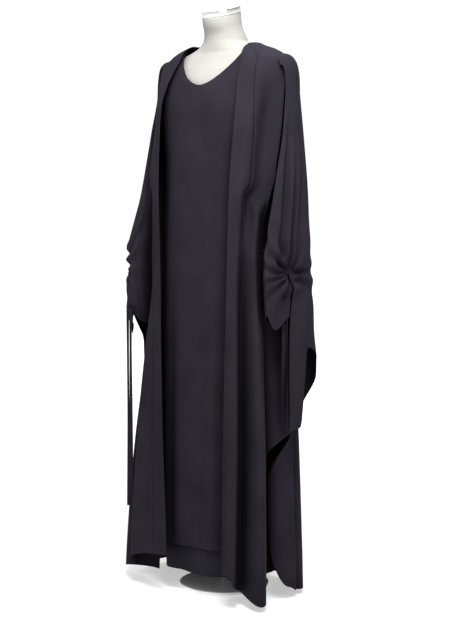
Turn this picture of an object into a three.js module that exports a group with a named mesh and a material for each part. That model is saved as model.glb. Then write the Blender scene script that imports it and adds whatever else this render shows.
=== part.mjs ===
// An open abaya with wide gathered sleeves over a straight dress, worn by a limbless dress form.
// Units are millimetres. The wearer faces -Y, the wearer's left is +X and the floor is z = 0.
import * as THREE from 'three';

// Driving dimensions
const WALL = 2;                 // thickness of every cloth wall
const SEAM = 0.3;               // gap between pieces that are sewn together
const SEAM_ANGLE = 0.16;        // the same gap, in degrees round a section
const MIDDLE_Y = 6;             // fore-and-aft place of the shoulder line
const ABAYA_TOP_Z = 1432;       // where the abaya leaves the side of the neck
const BAND = { width: 42, narrowZ: 1438, fullZ: 1392, hemZ: 60, leastShare: 0.1, stepAngle: 0.5 };
const BAND_SEAM = 0.0025;       // half the seam beside the band, as a share of the front
const DRESS_TOP_Z = 1426;
const SCOOP = { halfWidth: 103, bottomZ: 1322, power: 1.6 };
const ARMHOLE = { fromAngle: 40, bottomZ: 1262 };
const DRESS_HEM_Z = 128;
const UNDERSKIRT = { topZ: 860, hemZ: 58, inset: 8, wave: 5, waves: 9, waveFromZ: 123, sides: 36 };
const FORM_BOTTOM_Z = 760;
const FORM_SIDES = 28;
const NECK = {
  topZ: 1508, radius: 50, middleY: -10, tilt: 0.27, leanFromZ: 1424, roundByZ: 1480, tiltFromZ: 1450,
};
const CAP = { height: 20, radius: 51.5, dome: 5, bevel: 2, shoulder: 0.6, sides: 28 };
const POLE = { radius: 14, sides: 20 };
const BASE = { radius: 120, thickness: 9, bevel: 2, sides: 36 };
const TIE = { width: 10, thickness: 2, steps: 10 };
const KNOT = { z: 846, place: 3, placeLength: 78, pull: 9, pullReach: 26 };
const GATHER = { rays: 5, ridge: 5, reach: 70 };
const CAP_SLEEVE = { x: 185, topZ: 1401, drop: 0.012, round: 0.7, z: 1300 };

const { degToRad, radToDeg } = THREE.MathUtils;

// Turns a table into rows with named columns.
const table = (names, ...rows) => rows.map(
  (row) => Object.fromEntries(names.split(' ').map((name, i) => [name, row[i]])),
);

// Sections of the dress form: half width, depth in front and behind, and squareness of the front.
const FORM = table('z half frontLeft frontRight back square',
  [1440, 63.2, 51.2, 51.2, 55.2, 2],
  [1426, 77.2, 51.2, 51.2, 59.2, 2],
  [1412, 111.2, 51.2, 51.2, 62.2, 2],
  [1400, 149.2, 55.4, 55.4, 71.6, 2],
  [1386, 172.2, 62.7, 62.7, 80.3, 2],
  [1366, 182, 75.7, 75.7, 88.9, 2.1],
  [1330, 183, 92.2, 92.2, 96.8, 2.3],
  [1240, 161.2, 111.2, 111.2, 95.2, 2.4],
  [1160, 143.2, 103.2, 103.2, 87.2, 2.4],
  [1060, 127.2, 91.2, 91.2, 79.2, 2.3],
  [900, 151.2, 103.2, 103.2, 99.2, 2.3],
  [FORM_BOTTOM_Z, 145.2, 95.2, 95.2, 93.2, 2.3],
);

// Sections of the inner dress, which hangs from the bust and the shoulder blades.
const DRESS = table('z half frontLeft frontRight back square',
  [1434, 86, 58, 58, 64, 2],
  [1420, 116, 60, 60, 71, 2],
  [1408, 151.6, 65, 65, 81.4, 2],
  [1392, 177.2, 73, 73, 90, 2],
  [1368, 187.2, 86, 86, 97.9, 2.1],
  [1330, 188, 103, 103, 104.6, 2.3],
  [1240, 172, 121, 121, 105, 2.5],
  [1060, 160, 126, 126, 106, 2.6],
  [870, 160, 131, 131, 110, 2.7],
  [500, 158, 140, 140, 118, 2.7],
  [40, 162, 148, 148, 128, 2.7],
);

// Sections of the abaya's fronts and back.
const ABAYA = table('z half left right frontLeft frontRight back square',
  [1440, 0, 89.1, 86.2, 66, 66, 67.2, 2],
  [1428, 0, 111.3, 108.4, 67, 67, 75.4, 2],
  [1416, 0, 148, 148, 70, 70, 86, 2],
  [1402, 0, 175, 175, 76, 76, 95, 2],
  [1386, 0, 192, 192, 84, 84, 104, 2],
  [1364, 0, 200, 200, 97, 97, 108, 2.1],
  [1327, 0, 202, 202, 115, 115, 114, 2.3],
  [1269, 0, 200, 200, 132, 132, 117, 2.5],
  [1207, 0, 196, 196, 147, 141, 118, 2.6],
  [1020, 0, 191, 191, 174, 155, 121, 2.7],
  [806, 0, 194, 194, 182, 157, 127, 2.7],
  [645, 0, 200, 216, 188, 166, 132, 2.7],
  [365, 0, 212, 250, 203, 176, 140, 2.7],
  [170, 0, 216, 266, 214, 183, 148, 2.7],
  [0, 0, 220, 276, 226, 190, 156, 2.7],
);

// Distance of the front edges from the middle, and the height of the fronts' hem there.
const FRONT_EDGE = table('z left right',
  [1440, 100, 96],
  [1402, 103, 97],
  [1362, 112, 105],
  [1327, 119, 114],
  [1269, 126, 124],
  [1207, 129, 123],
  [1020, 131, 113],
  [806, 131, 100],
  [645, 132, 87],
  [365, 138, 66],
  [170, 142, 51],
  [0, 147, 37],
);

// Long folds of the skirt: place round the section, depth (a valley is less than 0), width, and heights
// where the fold begins and where it would reach its depth.
const FOLDS = {
  left: table('at depth width topZ fullZ',
    [43, 12, 5, 1150, 300],
    [52, -20, 4.5, 1120, 300],
    [63, 44, 8, 1000, -100],
  ),
  right: table('at depth width topZ fullZ',
    [40, 8, 6, 1000, 200],
    [51, -12, 5, 1000, 200],
    [62, 10, 7, 900, 0],
  ),
  back: table('at depth width topZ fullZ',
    [-150, 16, 9, 1150, 100],
    [-131, -14, 8, 1100, 100],
    [-112, 12, 8, 1000, 0],
    [108, 8, 8, 900, 0],
    [128, -14, 8, 1100, 100],
    [147, 16, 9, 1150, 100],
    [166, -12, 8, 1200, 100],
    [183, 14, 8, 1150, 100],
    [-163, -10, 7, 1200, 100],
  ),
};

// Where a front panel turns in at the side, seen from above.
const SIDE_LINE = table('z x y',
  [1440, 0, 0],
  [1384, 203, -4],
  [1300, 211, -19],
  [1200, 214, -36],
  [1100, 214, -57],
  [1030, 197, -62],
  [960, 176, -58],
  [850, 168, -54],
  [500, 170, -52],
  [0, 180, -60],
);

// Sections of a sleeve from the side of the body, round the front fold and the arm, to the back.
const SLEEVE = table('z bodyX bodyY innerX innerY frontX frontY outerX outerY edgeX edgeY',
  [1300, 218, 2, 216, -8, 223, -27, 233, 2, 219, 38],
  [1200, 221, -8, 220, -26, 226, -42, 240, -4, 224, 46],
  [1100, 218, -10, 218, -48, 228, -68, 247, -10, 230, 50],
  [1000, 211, -4, 212, -66, 230, -94, 250, -22, 236, 56],
  [900, 206, 4, 208, -90, 232, -119, 251, -34, 241, 60],
  [850, 205, 8, 208, -98, 235, -127, 249, -38, 243, 62],
  [800, 206, 8, 209, -97, 233, -123, 248, -37, 245, 64],
  [700, 207, 8, 210, -90, 230, -113, 246, -38, 249, 67],
  [600, 208, 8, 211, -86, 230, -108, 245, -37, 255, 74],
  [440, 210, 8, 212, -80, 228, -100, 239, -31, 250, 72],
);

// Height of a sleeve's hem. Place 0 is the side of the body, 1 inside the arm, 2 the front fold,
// 3 outside the arm, 4 the outer edge and 5 the seam at the back.
const CUFF_HEM = table('z place', [728, 0], [722, 1], [745, 2], [696, 2.45], [736, 2.95]);
const WING_HEM = table('z place',
  [440, 3.05],
  [452, 3.36],
  [655, 3.5],
  [622, 4],
  [582, 4.15],
  [534, 4.5],
  [486, 4.8],
  [470, 5],
);
const SLEEVE_COLUMNS = [0, 0.5, 1, 1.4, 1.75, 2, 2.2, 2.4, 2.6, 2.8, 2.95, 3.05, 3.2, 3.36, 3.5, 3.75, 4,
  4.15, 4.4, 4.7, 5];
const ARM_ROWS = [0.16, 0.32, 0.47, 0.6, 0.71, 0.81, 0.89, 0.95, 1];
const SLIT_AFTER = SLEEVE_COLUMNS.indexOf(2.95);
const FOLD_COLUMN = SLEEVE_COLUMNS.indexOf(2);

const colours = {
  crepe: new THREE.MeshStandardMaterial({ color: 0x34323b, roughness: 0.85, metalness: 0 }),
  cover: new THREE.MeshStandardMaterial({ color: 0xdedbd5, roughness: 0.8, metalness: 0 }),
  steel: new THREE.MeshStandardMaterial({ color: 0xc4c4c4, roughness: 0.2, metalness: 1 }),
  paint: new THREE.MeshStandardMaterial({ color: 0xe6e6e4, roughness: 0.5, metalness: 0 }),
};

const model = new THREE.Group();

function add(name, geometry, material) {
  const mesh = new THREE.Mesh(geometry, material);
  mesh.name = name;
  model.add(mesh);
  return mesh;
}

const mix = (from, to, share) => from + (to - from) * share;
const steps = (count) => Array.from({ length: count + 1 }, (_, i) => i / count);

// Goes from 0 to 1 as the value passes from one bound to the other.
function smooth(from, to, value) {
  const share = THREE.MathUtils.clamp((value - from) / (to - from), 0, 1);
  return share * share * (3 - 2 * share);
}

// A smooth curve through one column of a table, which never swings past its rows.
function follow(rows, name, key = 'z') {
  const points = rows.map((row) => [row[key], row[name]]).sort((a, b) => a[0] - b[0]);
  const slopes = points.slice(1).map((point, i) => (point[1] - points[i][1]) / (point[0] - points[i][0]));
  const tangents = points.map((point, i) => {
    const before = slopes[Math.max(i - 1, 0)];
    const after = slopes[Math.min(i, slopes.length - 1)];
    return before * after <= 0 ? 0 : (2 * before * after) / (before + after);
  });
  return (value) => {
    const clamped = THREE.MathUtils.clamp(value, points[0][0], points.at(-1)[0]);
    const i = Math.max(points.findIndex((point) => point[0] >= clamped), 1);
    const [x0, y0] = points[i - 1];
    const [x1, y1] = points[i];
    const span = x1 - x0;
    const t = (clamped - x0) / span;
    return (2 * t ** 3 - 3 * t ** 2 + 1) * y0 + (t ** 3 - 2 * t ** 2 + t) * span * tangents[i - 1]
      + (3 * t ** 2 - 2 * t ** 3) * y1 + (t ** 3 - t ** 2) * span * tangents[i];
  };
}

// A function of height that gives all columns of a table as one row.
function sections(rows) {
  const columns = Object.keys(rows[0]).filter((name) => name !== 'z');
  const curves = columns.map((name) => follow(rows, name));
  return (z) => Object.fromEntries(columns.map((name, i) => [name, curves[i](z)]));
}

const formAt = sections(FORM);
const dressAt = sections(DRESS);
const abayaAt = sections(ABAYA);
const edgeAt = sections(FRONT_EDGE);
const sideAt = sections(SIDE_LINE);
const sleeveAt = sections(SLEEVE);

const BACK_SQUARE = 2.2;       // squareness of every section's back half
const signedPower = (value, exponent) => Math.sign(value) * Math.abs(value) ** exponent;

// A point on a section. 0 degrees is the middle of the front, 90 the wearer's left, 180 the back.
function around(size, degrees, z, bulge = 0) {
  const across = Math.sin(degToRad(degrees));
  const along = Math.cos(degToRad(degrees));
  const exponent = 2 / (along > 0 ? size.square : BACK_SQUARE);
  const half = size.half || (across > 0 ? size.left : size.right);
  const front = across > 0 ? size.frontLeft : size.frontRight;
  const x = half * signedPower(across, exponent);
  const y = -(along > 0 ? front : size.back) * signedPower(along, exponent);
  const stretch = 1 + bulge / Math.hypot(x, y);
  return new THREE.Vector3(x * stretch, MIDDLE_Y + y * stretch, z);
}

// The angle at which a front section is a distance from the middle.
function angleAtX(half, x, square) {
  return radToDeg(Math.asin(Math.min(x / half, 1) ** (square / 2)));
}

function foldsAt(folds, degrees, z) {
  return folds.reduce((sum, fold) => {
    const away = (degrees - fold.at + 540) % 360 - 180;
    return sum + fold.depth * Math.exp(-((away / fold.width) ** 2)) * smooth(fold.topZ, fold.fullZ, z);
  }, 0);
}

// Closes a list of triangles into a geometry with its faces pointing out.
function solid(points, triangles) {
  const volume = triangles.reduce((sum, [a, b, c]) => (
    sum + points[a].dot(new THREE.Vector3().crossVectors(points[b], points[c]))), 0);
  const index = triangles.flatMap(([a, b, c]) => (volume < 0 ? [a, c, b] : [a, b, c]));
  const used = [...new Set(index)];
  const place = new Map(used.map((old, i) => [old, i]));
  const geometry = new THREE.BufferGeometry().setFromPoints(used.map((old) => points[old]));
  geometry.setIndex(index.map((old) => place.get(old)));
  geometry.computeVertexNormals();
  return geometry;
}

// A cloth wall. The grid holds its outer points, row by row, and the wall grows to the inside.
// Cells for which isOpen is true are left out, and their borders are closed.
function wall(grid, { closed = false, inward = 1, isOpen = () => false } = {}) {
  const rows = grid.length;
  const columns = grid[0].length;
  const at = (r, c) => grid[THREE.MathUtils.clamp(r, 0, rows - 1)][
    closed ? (c + columns) % columns : THREE.MathUtils.clamp(c, 0, columns - 1)];
  const cellColumns = closed ? columns : columns - 1;
  const present = (r, c) => r >= 0 && r < rows - 1 && (closed || (c >= 0 && c < cellColumns))
    && !isOpen(r, (c + cellColumns) % cellColumns);
  const joined = (r, c) => present(r, c) || present(r - 1, c);
  const outer = grid.flat();
  const inner = grid.flatMap((row, r) => row.map((point, c) => {
    const before = joined(r, c - 1) ? at(r, c - 1) : point;
    const after = joined(r, c) ? at(r, c + 1) : point;
    const across = new THREE.Vector3().subVectors(after, before);
    const down = new THREE.Vector3().subVectors(at(r + 1, c), at(r - 1, c));
    return point.clone().addScaledVector(across.cross(down).normalize(), inward * WALL);
  }));
  const points = [...outer, ...inner];
  const triangles = [];
  const quad = (a, b, c, d) => triangles.push([a, b, c], [a, c, d]);
  const backQuad = (a, b, c, d) => triangles.push([c, b, a], [d, c, a]);
  const vertex = (r, c) => r * columns + c % columns;
  const deep = (index) => index + outer.length;
  for (let r = 0; r < rows - 1; r += 1) {
    for (let c = 0; c < cellColumns; c += 1) {
      if (present(r, c)) {
        const corners = [vertex(r, c), vertex(r, c + 1), vertex(r + 1, c + 1), vertex(r + 1, c)];
        quad(...corners);
        backQuad(...corners.map(deep));
        const sides = [present(r - 1, c), present(r, c + 1), present(r + 1, c), present(r, c - 1)];
        sides.forEach((shared, side) => {
          if (!shared) {
            const from = corners[side];
            const to = corners[(side + 1) % 4];
            quad(to, from, deep(from), deep(to));
          }
        });
      }
    }
  }
  return solid(points, triangles);
}

// A solid through closed rings, shut by a fan at each end.
function loft(rings) {
  const count = rings[0].length;
  const centre = (ring) => ring.reduce((sum, point) => sum.add(point), new THREE.Vector3())
    .divideScalar(count);
  const points = [...rings.flat(), centre(rings[0]), centre(rings.at(-1))];
  const triangles = [];
  rings.slice(1).forEach((ring, r) => ring.forEach((point, c) => {
    const next = (c + 1) % count;
    const [a, b] = [r * count + c, r * count + next];
    triangles.push([a, a + count, b + count], [a, b + count, b]);
  }));
  const last = (rings.length - 1) * count;
  for (let c = 0; c < count; c += 1) {
    const next = (c + 1) % count;
    triangles.push([rings.length * count, c, next]);
    triangles.push([rings.length * count + 1, last + next, last + c]);
  }
  return solid(points, triangles);
}

// Rings of the form's neck, and of its rounded lower end.
const NECK_RINGS_Z = [NECK.topZ, 1490, 1470, 1454];
const FORM_END = table('up inset', [22, 0], [7, 6], [0, 22]);

// The dress form, with a rounded lower end and a neck that leans forward to a sloping top.
function buildForm() {
  const body = FORM.map((row) => row.z).slice(0, -1);
  const levels = [...NECK_RINGS_Z, ...body].map((z) => ({ z, inset: 0 }))
    .concat(FORM_END.map(({ up, inset }) => ({ z: FORM_BOTTOM_Z + up, inset })));
  const rings = levels.map(({ z, inset }) => {
    const size = formAt(z);
    const lean = smooth(NECK.leanFromZ, NECK.topZ, z);
    return steps(FORM_SIDES).slice(1).map((share) => {
      const turn = degToRad(share * 360);
      const neck = new THREE.Vector3(NECK.radius * Math.sin(turn),
        mix(MIDDLE_Y, NECK.middleY, lean) - NECK.radius * Math.cos(turn), z);
      const round = smooth(NECK.leanFromZ, NECK.roundByZ, z);
      const point = around(size, share * 360, z, -inset).lerp(neck, round);
      point.z += (point.y - NECK.middleY) * NECK.tilt * smooth(NECK.tiltFromZ, NECK.topZ, z);
      return point;
    });
  });
  add('form_torso', loft(rings), colours.cover);
}

// A metal cap on the neck: a low drum with a slightly domed top.
function buildCap() {
  const profile = [
    [0, 0],
    [CAP.radius - CAP.bevel / 2, 0],
    [CAP.radius, CAP.bevel / 2],
    [CAP.radius, CAP.height - CAP.bevel],
    [CAP.radius - CAP.bevel, CAP.height],
    [CAP.radius * CAP.shoulder, CAP.height + CAP.dome * CAP.shoulder],
    [0, CAP.height + CAP.dome],
  ];
  const shape = new THREE.LatheGeometry(profile.map(([x, y]) => new THREE.Vector2(x, y)), CAP.sides);
  shape.rotateX(Math.PI / 2 + Math.atan(NECK.tilt));
  shape.translate(0, NECK.middleY, NECK.topZ + SEAM);
  add('neck_cap', shape, colours.steel);
}

function buildStand() {
  const top = FORM_BOTTOM_Z - SEAM;
  const bottom = BASE.thickness + SEAM;
  const pole = new THREE.CylinderGeometry(POLE.radius, POLE.radius, top - bottom, POLE.sides);
  pole.rotateX(Math.PI / 2);
  pole.translate(0, MIDDLE_Y, (top + bottom) / 2);
  add('stand_pole', pole, colours.steel);
  const profile = [[0, 0], [BASE.radius, 0], [BASE.radius, BASE.thickness - BASE.bevel],
    [BASE.radius - BASE.bevel, BASE.thickness], [0, BASE.thickness]];
  const base = new THREE.LatheGeometry(profile.map(([x, y]) => new THREE.Vector2(x, y)), BASE.sides);
  base.rotateX(Math.PI / 2);
  add('stand_base', base, colours.paint);
}

// Height of the dress's top edge from the strap down to the foot of the armhole.
function armholeTop(away) {
  return mix(DRESS_TOP_Z, ARMHOLE.bottomZ, smooth(ARMHOLE.fromAngle, 90, Math.abs(away)));
}

// Height of the front's top edge: the scooped neck, the strap and the armhole.
function scoopTop(degrees) {
  const inScoop = (z) => {
    const x = Math.abs(around(dressAt(z), degrees, z).x);
    const share = x / SCOOP.halfWidth;
    const depth = DRESS_TOP_Z - SCOOP.bottomZ;
    return share < 1 && z > DRESS_TOP_Z - depth * (1 - share ** SCOOP.power) ** (1 / SCOOP.power);
  };
  let z = DRESS_TOP_Z;
  while (inScoop(z)) z -= 1;
  return Math.min(z, armholeTop(degrees));
}

// Shares down a panel, closer together near its top where it turns over the shoulder.
const downPanel = (count, crowding) => steps(count).map((share) => share ** crowding);

// Columns of the dress, in degrees from the middle of the panel, closer together at the armholes.
const AT_ARMHOLE = [90 - SEAM_ANGLE / 2, 83, 76, 69, 62, 55];
const DRESS_ROWS = { count: 17, crowding: 1.75 };

function buildDress() {
  const rows = downPanel(DRESS_ROWS.count, DRESS_ROWS.crowding);
  const inFront = [...AT_ARMHOLE, 48, 38, 26, 14, 6];
  const behind = [...AT_ARMHOLE, 45, 23];
  const frontAngles = [...inFront.map((away) => -away), 0, ...inFront.toReversed()];
  const backAngles = [-1, 1].flatMap((sign) => (
    sign < 0 ? behind.map((away) => 180 - away) : [0, ...behind.toReversed()].map((away) => 180 + away)));
  const panel = (angles, topAt) => wall(rows.map((down) => angles.map((degrees) => {
    const z = mix(topAt(degrees), DRESS_HEM_Z, down);
    return around(dressAt(z), degrees, z);
  })));
  add('dress_front', panel(frontAngles, scoopTop), colours.crepe);
  add('dress_back', panel(backAngles, (degrees) => armholeTop(180 - degrees)), colours.crepe);
}

// The longer layer inside the dress, a tube with soft waves at its hem.
function buildUnderskirt() {
  const grid = steps(5).map((down) => {
    const z = mix(UNDERSKIRT.topZ, UNDERSKIRT.hemZ, down);
    return steps(UNDERSKIRT.sides).slice(1).map((share) => {
      const wave = UNDERSKIRT.wave * Math.sin(degToRad(share * 360 * UNDERSKIRT.waves));
      const below = smooth(UNDERSKIRT.waveFromZ, UNDERSKIRT.hemZ, z);
      return around(dressAt(z), share * 360, z, wave * below - UNDERSKIRT.inset);
    });
  });
  add('underskirt', wall(grid, { closed: true }), colours.crepe);
}

// Height of the fronts' hem, which rises towards the open edges.
const FRONT_HEM = {
  left: table('angle z', [30, 90], [40, 84], [46, 56], [54, 32], [63, 14], [72, 20], [80, 24]),
  right: table('angle z', [5, 104], [20, 96], [35, 78], [50, 46], [66, 26], [80, 22]),
};
const frontHemAt = {
  left: follow(FRONT_HEM.left, 'z', 'angle'),
  right: follow(FRONT_HEM.right, 'z', 'angle'),
};

// Where a front ends: at the shoulder seam, or below the armhole where it turns in to the side line.
const FRONT = {
  shoulderAngle: 89.8, upperAngle: 73, tuckAngle: 80, armholeTopZ: 1392, armholeZ: 1360,
  upperZ: 900, tuckZ: 600,
};
const FRONT_TURN = { upperAngle: 45, lowerAngle: 66, fromZ: 1080, toZ: 980 };
const FRONT_ROWS = { count: 22, crowding: 1.3 };
const FRONT_COLUMNS = { band: 3, panel: 13 };
const sideAngle = (z) => mix(FRONT.tuckAngle, FRONT.upperAngle, smooth(FRONT.tuckZ, FRONT.upperZ, z));
const frontEndAngle = (z) => (
  mix(FRONT.shoulderAngle, sideAngle(z), smooth(FRONT.armholeTopZ, FRONT.armholeZ, z)));

// A point of an abaya front. Across goes from the open edge, 0, to the side, 1.
function frontPoint(side, across, down) {
  const sign = side === 'left' ? 1 : -1;
  const bottomAngle = angleAtX(abayaAt(0)[side], edgeAt(0)[side], abayaAt(0).square);
  const hemZ = frontHemAt[side](mix(bottomAngle, FRONT.tuckAngle, across));
  const z = mix(ABAYA_TOP_Z, hemZ, down);
  const size = abayaAt(z);
  const from = angleAtX(size[side], edgeAt(z)[side], size.square);
  const degrees = mix(from, frontEndAngle(z), across);
  const point = around(size, sign * degrees, z, foldsAt(FOLDS[side], degrees, z));
  const line = sideAt(z);
  const turnFrom = mix(FRONT_TURN.upperAngle, FRONT_TURN.lowerAngle,
    smooth(FRONT_TURN.fromZ, FRONT_TURN.toZ, z));
  const turn = smooth(turnFrom, sideAngle(z), degrees)
    * smooth(FRONT.armholeTopZ, FRONT.armholeZ, z);
  point.x = mix(point.x, sign * line.x, turn);
  point.y = mix(point.y, line.y, turn);
  return point;
}

// The share of a front, from its open edge, that the band takes at a height.
function bandShare(side, z) {
  const size = abayaAt(z);
  const edge = angleAtX(size[side], edgeAt(z)[side], size.square);
  const width = BAND.width * smooth(BAND.narrowZ, BAND.fullZ, z);
  let seam = edge;
  let last = around(size, edge, z);
  let left = width;
  while (left > 0) {
    const next = around(size, seam + BAND.stepAngle, z);
    const length = next.distanceTo(last);
    seam += BAND.stepAngle * Math.min(left / length, 1);
    left -= length;
    last = next;
  }
  return Math.max((seam - edge) / (frontEndAngle(z) - edge), BAND.leastShare);
}

function buildFronts() {
  const rows = downPanel(FRONT_ROWS.count, FRONT_ROWS.crowding);
  ['left', 'right'].forEach((side) => {
    const inward = side === 'left' ? 1 : -1;
    const seamAt = (down) => bandShare(side, mix(ABAYA_TOP_Z, BAND.hemZ, down));
    const band = rows.map((down) => steps(FRONT_COLUMNS.band).map((across) => (
      frontPoint(side, across * (seamAt(down) - BAND_SEAM), down))));
    const panel = rows.map((down) => steps(FRONT_COLUMNS.panel).map((across) => (
      frontPoint(side, mix(seamAt(down) + BAND_SEAM, 1, across), down))));
    add(`abaya_band_${side}`, wall(band, { inward }), colours.crepe);
    add(`abaya_front_${side}`, wall(panel, { inward }), colours.crepe);
  });
}

// Where the back ends at each height: the shoulder, the armhole's seam, and round to the side lower down.
const BACK_SIDE = table('z angle',
  [1440, 90.2],
  [1392, 90.2],
  [1345, 125],
  [660, 125],
  [560, 111],
  [460, 97],
  [400, 88],
  [340, 80],
  [300, 76],
  [0, 72],
);
const BACK_HEM = table('angle z', [70, 262], [76, 165], [82, 85], [88, 34], [96, 16], [112, 13], [180, 16]);
const SIDE_HEM = table('angle z', [70, 345], [76, 368], [82, 400], [90, 432], [104, 460], [120, 480]);
const BACK_LEVEL = { z: 300, share: 0.78 };   // the back's rows are level down to this height
const BACK_GRID = { rows: 22, crowding: 1.25, columns: 30 };
const SIDE_GRID = { rows: 10, columns: 9 };
const SIDE_TURN = { fromAngle: 72, toAngle: 88 };
const SIDE_DRAPE = { topZ: 905, backAngle: 114, flare: 9, flareFromZ: 660, flareToZ: 560 };
const backSideAt = follow(BACK_SIDE, 'angle');
const backHemAt = follow(BACK_HEM, 'z', 'angle');
const sideHemAt = follow(SIDE_HEM, 'z', 'angle');

// A point of the cloth behind the side line, which it leaves for the section as it goes back.
function sidePoint(degrees, z, bulge, away) {
  const point = around(abayaAt(z), degrees, z, bulge);
  const line = sideAt(z);
  const turn = smooth(SIDE_TURN.toAngle, SIDE_TURN.fromAngle, Math.abs(degrees));
  point.x = mix(point.x, Math.sign(degrees) * (line.x + away.x), turn);
  point.y = mix(point.y, line.y + away.y, turn);
  return point;
}

// How far the side panels and the back keep outside and behind the side line.
const SIDE_BEHIND = { left: { x: 0.4, y: 1 }, right: { x: 0.4, y: 1 } };
const BACK_BEHIND = { x: 3, y: 16 };

function backPoint(degrees, z, proud = 0) {
  return sidePoint(degrees, z, foldsAt(FOLDS.back, degrees, z) + proud, BACK_BEHIND);
}

function buildBack() {
  const rows = downPanel(BACK_GRID.rows, BACK_GRID.crowding);
  const grid = rows.map((down) => steps(BACK_GRID.columns).map((across) => {
    const turned = mix(-1, 1, across);
    const hemZ = backHemAt(mix(180, SIDE_TURN.fromAngle, Math.abs(turned)));
    const z = down < BACK_LEVEL.share ? mix(ABAYA_TOP_Z, BACK_LEVEL.z, down / BACK_LEVEL.share)
      : mix(BACK_LEVEL.z, hemZ, (down - BACK_LEVEL.share) / (1 - BACK_LEVEL.share));
    const away = mix(180, backSideAt(z), Math.abs(turned));
    return backPoint(turned < 0 ? -away : away, z);
  }));
  add('abaya_back', wall(grid, { inward: -1 }), colours.crepe);
}

// The side panels hang behind the side line, in front of the back.
function buildSides() {
  ['left', 'right'].forEach((side) => {
    const sign = side === 'left' ? 1 : -1;
    const grid = steps(SIDE_GRID.rows).map((down) => steps(SIDE_GRID.columns).map((across) => {
      const degrees = mix(SIDE_TURN.fromAngle, SIDE_DRAPE.backAngle, across);
      const z = mix(SIDE_DRAPE.topZ, sideHemAt(degrees), down);
      const flare = SIDE_DRAPE.flare * smooth(SIDE_DRAPE.flareFromZ, SIDE_DRAPE.flareToZ, z);
      return sidePoint(sign * degrees, z, flare, SIDE_BEHIND[side]);
    }));
    add(`abaya_side_${side}`, wall(grid, { inward: sign }), colours.crepe);
  });
}

// The right arm is turned a little more to the front than the left.
const ARM_TURN = { left: 0, right: 55, fromZ: 1150, toZ: 880, edgeShare: 0.4 };

// The seam to the back, which stands off it at the shoulder and along the wing.
const SLEEVE_SEAM = {
  angle: 124.2, topAngle: 112, proud: 5, wingFromZ: 720, wingToZ: 620, capFromZ: 1260, capToZ: 1330,
};

// How far the gathers push a sleeve out: a pinch at the knot, with ridges that fan out from it.
function gathersAt(place, z) {
  const across = (place - KNOT.place) * KNOT.placeLength;
  const up = z - KNOT.z;
  const away = Math.hypot(across, up);
  const pinch = KNOT.pull * Math.exp(-((away / KNOT.pullReach) ** 2));
  const fan = Math.cos(2 * GATHER.rays * Math.atan2(across, up)) * Math.exp(-away / GATHER.reach);
  return GATHER.ridge * fan * smooth(0, KNOT.pullReach, away) - pinch;
}

// A point of a sleeve at a place round its section, 0 to 5, and a height.
function sleevePoint(side, place, z) {
  const sign = side === 'left' ? 1 : -1;
  const row = sleeveAt(z);
  const turned = ARM_TURN[side] * smooth(ARM_TURN.fromZ, ARM_TURN.toZ, z);
  const seamAngle = mix(SLEEVE_SEAM.angle, SLEEVE_SEAM.topAngle, smooth(CAP_SLEEVE.z, CAP_SLEEVE.topZ, z));
  const proud = SLEEVE_SEAM.proud * (smooth(SLEEVE_SEAM.wingFromZ, SLEEVE_SEAM.wingToZ, z)
    + smooth(SLEEVE_SEAM.capFromZ, SLEEVE_SEAM.capToZ, z));
  const seam = backPoint(sign * seamAngle, z, proud);
  const stations = [
    [row.bodyX, row.bodyY],
    [row.innerX, row.innerY],
    [row.frontX, row.frontY],
    [row.outerX, row.outerY - turned],
    [row.edgeX, row.edgeY - turned * ARM_TURN.edgeShare],
    [Math.abs(seam.x), seam.y],
  ].map(([x, y]) => new THREE.Vector3(x, y, z));
  const curve = new THREE.CatmullRomCurve3(stations, false, 'centripetal');
  const point = curve.getPoint(place / 5);
  const out = curve.getTangent(place / 5).cross(new THREE.Vector3(0, 0, 1));
  point.addScaledVector(out, gathersAt(place, z));
  if (z > CAP_SLEEVE.z) {
    const top = CAP_SLEEVE.topZ - CAP_SLEEVE.drop * (point.y - MIDDLE_Y) ** 2;
    const rise = Math.min((z - CAP_SLEEVE.z) / (CAP_SLEEVE.topZ - CAP_SLEEVE.z), 1) * Math.PI / 2;
    point.x = mix(CAP_SLEEVE.x, point.x, Math.cos(rise) ** CAP_SLEEVE.round);
    point.z = mix(CAP_SLEEVE.z, top, Math.sin(rise) ** CAP_SLEEVE.round);
  }
  point.x *= sign;
  return point;
}

function buildSleeves() {
  const cuffHem = follow(CUFF_HEM, 'z', 'place');
  const wingHem = follow(WING_HEM, 'z', 'place');
  const top = steps(5).map((share) => mix(CAP_SLEEVE.topZ, CAP_SLEEVE.z, share));
  const arm = ARM_ROWS.map((share) => mix(CAP_SLEEVE.z, KNOT.z, share));
  const slitRow = top.length + arm.length - 1;
  ['left', 'right'].forEach((side) => {
    const sign = side === 'left' ? 1 : -1;
    const columns = SLEEVE_COLUMNS.map((place) => {
      const hem = place < 3 ? cuffHem(place) : wingHem(place);
      const below = steps(6).slice(1).map((share) => mix(KNOT.z, hem, share));
      return [...top, ...arm, ...below].map((z) => sleevePoint(side, place, z));
    });
    const grid = columns[0].map((_, r) => columns.map((column) => column[r]));
    const isOpen = (r, c) => (r >= slitRow ? c === SLIT_AFTER : r < top.length - 1 && c < FOLD_COLUMN);
    add(`sleeve_${side}`, wall(grid, { inward: sign, isOpen }), colours.crepe);
  });
}

// Flat ends of the two drawstrings, which hang straight down from the cuff.
const TIES = table('name x y topZ bottomZ',
  ['left_front', 240, -56, 720, 455],
  ['left_back', 240, -44, 732.2, 440],
  ['right_front', -239, -118, 746, 200],
  ['right_back', -228, -118, 738.5, 190],
);

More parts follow.
